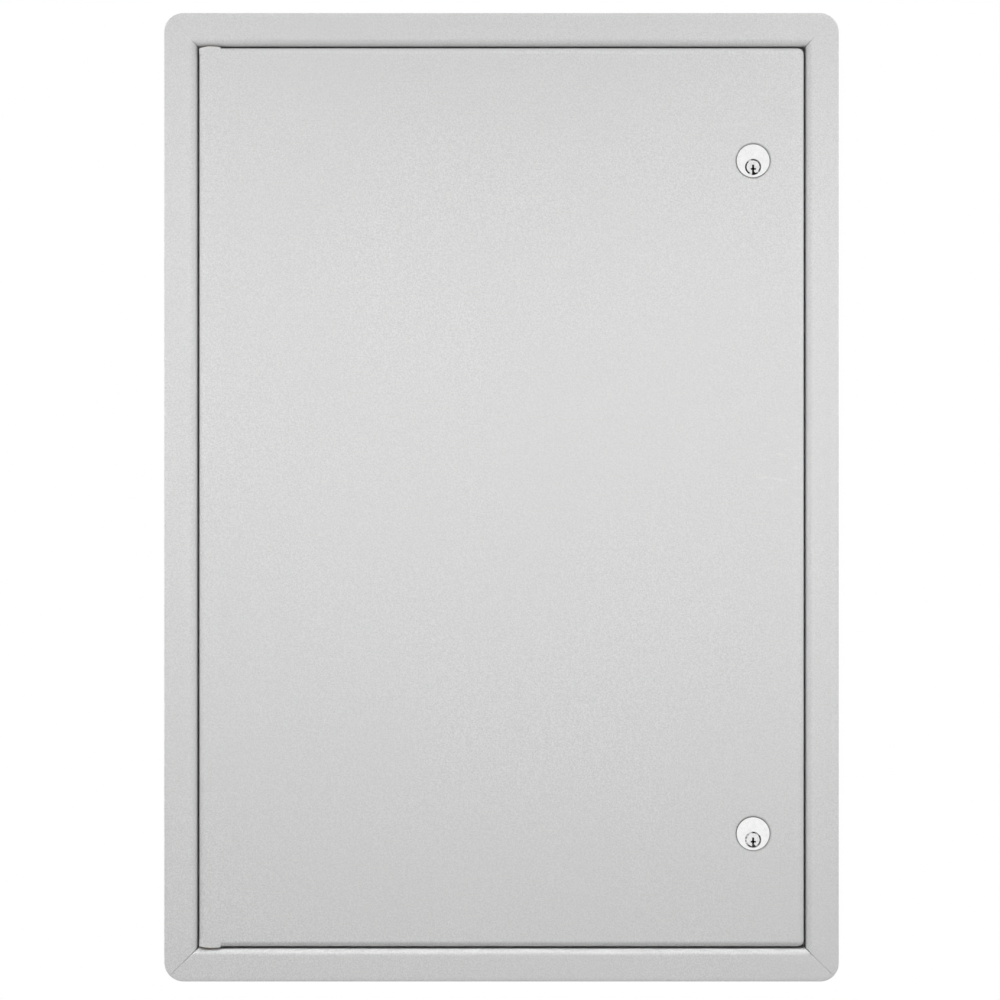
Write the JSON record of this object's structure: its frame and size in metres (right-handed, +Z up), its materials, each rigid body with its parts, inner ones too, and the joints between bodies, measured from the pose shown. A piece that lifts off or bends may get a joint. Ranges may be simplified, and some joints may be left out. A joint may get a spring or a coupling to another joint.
{
  "type": "fire alarm control panel",
  "caption": "Flush steel cabinet for a fire alarm control panel: mitred trim, blank inset door with two key locks, electronics and batteries inside.",
  "frame": {"origin": "centre of the back box's rear face, half way up the cabinet and midway between its sides", "axes": "+X to the right as seen by someone facing the door, +Y into the wall, +Z up; the door faces -Y"},
  "size_m": [0.569, 0.1294, 0.817],
  "materials": {
    "powder_coat": "fine-textured light grey powder coat",
    "zinc_steel": "zinc plated",
    "chassis_steel": "galvanised sheet",
    "lock_chrome": "polished",
    "lock_plug": "polished, darker ring",
    "bumper_rubber": "matt black",
    "bronze": "sintered bronze",
    "brass": "plain",
    "circuit_board": "green solder mask",
    "terminal_green": "moulded",
    "relay_black": "moulded",
    "relay_blue": "moulded",
    "capacitor_sleeve": "shrunk sleeve",
    "sink_aluminium": "extruded",
    "core_steel": "varnished laminations",
    "fuse_holder": "ceramic-coloured moulding",
    "mains_cream": "moulded",
    "battery_case": "moulded dark grey",
    "battery_lead": "tinned",
    "overlay_film": "textured film",
    "bezel_black": "moulded",
    "display_green": "unlit liquid crystal",
    "window_glass": "clear",
    "lens_red": "translucent",
    "key_grey": "moulded",
    "key_red": "moulded"
  },
  "bodies": {
    "cabinet": {"back_box": "powder_coat", "knockout_blanks": "zinc_steel", "trim_top": "powder_coat", "trim_bottom": "powder_coat", "trim_left": "powder_coat", "trim_right": "powder_coat", "trim_screws": "zinc_steel", "door_bumpers": "bumper_rubber", "hinge_blocks": "zinc_steel", "hinge_pins": "zinc_steel", "chassis_studs": "zinc_steel", "chassis_plate": "chassis_steel", "chassis_nuts": "zinc_steel", "board_standoffs": "brass", "main_board": "circuit_board", "board_screws": "zinc_steel", "terminal_blocks": "terminal_green", "relays": "relay_blue", "capacitors": "capacitor_sleeve", "logic_chips": "relay_black", "heat_sink": "sink_aluminium", "board_fuses": "fuse_holder", "loop_cards": "circuit_board", "power_supply_case": "chassis_steel", "power_supply_cover": "chassis_steel", "power_transformer": "core_steel", "mains_terminal_block": "mains_cream", "earth_stud": "brass", "battery_shelf": "zinc_steel", "left_battery": "battery_case", "right_battery": "battery_case", "battery_terminals": "battery_lead", "operator_bracket": "powder_coat", "operator_overlay": "overlay_film", "operator_board": "circuit_board", "display_module": "display_green", "display_bezel": "bezel_black", "display_glass": "window_glass", "indicator_lenses": "lens_red", "sounder": "relay_black"},
    "door": {"door_panel": "powder_coat", "door_stiffeners": "powder_coat", "hinge_leaves": "zinc_steel", "hinge_bushes": "bronze", "lock_collars": "zinc_steel", "lock_set_screws": "zinc_steel", "upper_lock_cylinder": "lock_chrome", "lower_lock_cylinder": "lock_chrome", "document_pocket": "powder_coat"},
    "upper_lock": {"upper_lock_plug": "lock_plug", "upper_lock_cam": "zinc_steel", "upper_cam_screw": "zinc_steel"},
    "lower_lock": {"lower_lock_plug": "lock_plug", "lower_lock_cam": "zinc_steel", "lower_cam_screw": "zinc_steel"},
    "acknowledge_key": {"acknowledge_button": "key_red"},
    "silence_key": {"silence_button": "key_grey"},
    "reset_key": {"reset_button": "key_grey"},
    "drill_key": {"drill_button": "key_grey"},
    "lamp_test_key": {"lamp_test_button": "key_grey"}
  },
  "joints": [
    {"name": "door_hinge", "type": "hinge", "parent": "cabinet", "child": "door", "pos_m": [-0.2472, -0.1215, 0], "axis": [0, 0, -1], "range_deg": [0, 110]},
    {"name": "upper_lock_turn", "type": "hinge", "parent": "door", "child": "upper_lock", "pos_m": [0.2122, -0.115, 0.2787], "axis": [0, -1, 0], "range_deg": [0, 90]},
    {"name": "lower_lock_turn", "type": "hinge", "parent": "door", "child": "lower_lock", "pos_m": [0.2122, -0.115, -0.2889], "axis": [0, -1, 0], "range_deg": [0, 90]},
    {"name": "acknowledge_press", "type": "slide", "parent": "cabinet", "child": "acknowledge_key", "axis": [0, 1, 0], "range_m": [0, 0.0012], "stiffness_N_per_m": 600, "springref_m": -0.001},
    {"name": "silence_press", "type": "slide", "parent": "cabinet", "child": "silence_key", "axis": [0, 1, 0], "range_m": [0, 0.0012], "stiffness_N_per_m": 600, "springref_m": -0.001},
    {"name": "reset_press", "type": "slide", "parent": "cabinet", "child": "reset_key", "axis": [0, 1, 0], "range_m": [0, 0.0012], "stiffness_N_per_m": 600, "springref_m": -0.001},
    {"name": "drill_press", "type": "slide", "parent": "cabinet", "child": "drill_key", "axis": [0, 1, 0], "range_m": [0, 0.0012], "stiffness_N_per_m": 600, "springref_m": -0.001},
    {"name": "lamp_test_press", "type": "slide", "parent": "cabinet", "child": "lamp_test_key", "axis": [0, 1, 0], "range_m": [0, 0.0012], "stiffness_N_per_m": 600, "springref_m": -0.001}
  ]
}
